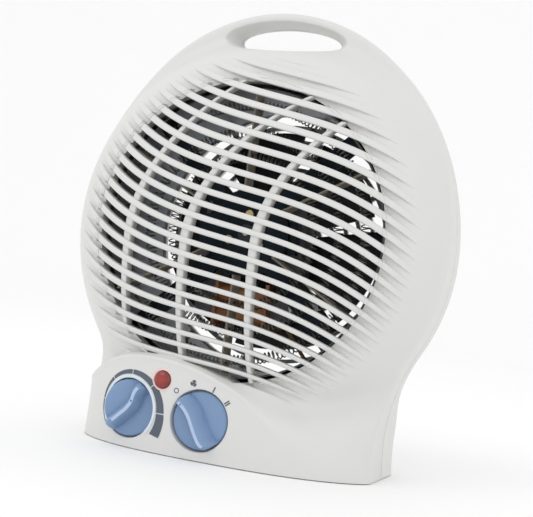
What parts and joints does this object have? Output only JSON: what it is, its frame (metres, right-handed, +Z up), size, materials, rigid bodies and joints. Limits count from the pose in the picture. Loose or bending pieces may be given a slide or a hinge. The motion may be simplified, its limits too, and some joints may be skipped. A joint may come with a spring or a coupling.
{
  "type": "fan convector heater",
  "caption": "Free-standing fan heater: round body with a slatted outlet, hand slot, thermostat knob, switch knob, pilot lamp and a fan behind heating coils.",
  "frame": {"origin": "on the floor, at the middle of the heater's bounding box", "axes": "+Z up, outlet and knobs face -Y, +X to the right of someone facing the outlet"},
  "size_m": [0.222, 0.1231, 0.255],
  "materials": {
    "shell_white": "moulded ABS, fine satin grain",
    "knob_blue": "moulded ABS, satin gloss",
    "lens_red": "clear red polycarbonate",
    "rubber_dark": "moulded rubber",
    "steel": "zinc plated steel",
    "duct_grey": "coated steel sheet",
    "fan_dark": "heat-proof black plastic",
    "control_dark": "phenolic moulding",
    "mica": "mica board",
    "heating_wire": "bare resistance wire",
    "laminations": "stacked electrical steel",
    "winding": "enamelled copper winding",
    "bronze": "sintered bronze",
    "brass": "stamped brass",
    "lamp_glass": "clear glass",
    "terminal_white": "nylon",
    "wire_cover": "insulated wire"
  },
  "bodies": {
    "housing": {"front_cover": "shell_white", "rear_cover": "shell_white", "base_plate": "shell_white", "rubber_feet": "rubber_dark", "thermostat_body": "control_dark", "thermostat_bimetal": "brass", "switch_body": "control_dark", "switch_terminals": "brass", "control_screws": "steel", "pilot_lamp_lens": "lens_red", "neon_lamp": "lamp_glass", "air_duct": "duct_grey", "duct_screws": "steel", "heating_coils": "heating_wire", "mica_supports": "mica", "thermal_cutout": "steel", "thermal_fuse": "terminal_white", "motor_bracket": "fan_dark", "motor_mount_screws": "steel", "motor_front_plate": "steel", "motor_rear_plate": "steel", "front_bearing": "bronze", "rear_bearing": "bronze", "stator_core": "laminations", "motor_coil": "winding", "terminal_block": "terminal_white", "cord_inlet_bush": "rubber_dark", "wiring": "wire_cover", "cover_screws": "steel", "base_screws": "steel"},
    "thermostat_control": {"thermostat_knob": "knob_blue", "thermostat_spindle": "steel"},
    "switch_control": {"switch_knob": "knob_blue", "switch_spindle": "steel"},
    "fan_rotor": {"rotor": "laminations", "motor_shaft": "steel", "fan_impeller": "fan_dark", "fan_clip": "steel"}
  },
  "joints": [
    {"name": "thermostat_turn", "type": "hinge", "parent": "housing", "child": "thermostat_control", "pos_m": [-0.047, -0.044, 0.0216], "axis": [0, 1, 0], "range_deg": [-148, 106]},
    {"name": "switch_turn", "type": "hinge", "parent": "housing", "child": "switch_control", "pos_m": [-0.003, -0.048, 0.0216], "axis": [0, 1, 0], "range_deg": [0, 96]},
    {"name": "fan_spin", "type": "hinge", "parent": "housing", "child": "fan_rotor", "pos_m": [0, 0.02, 0.125], "axis": [0, 1, 0], "continuous": true}
  ]
}
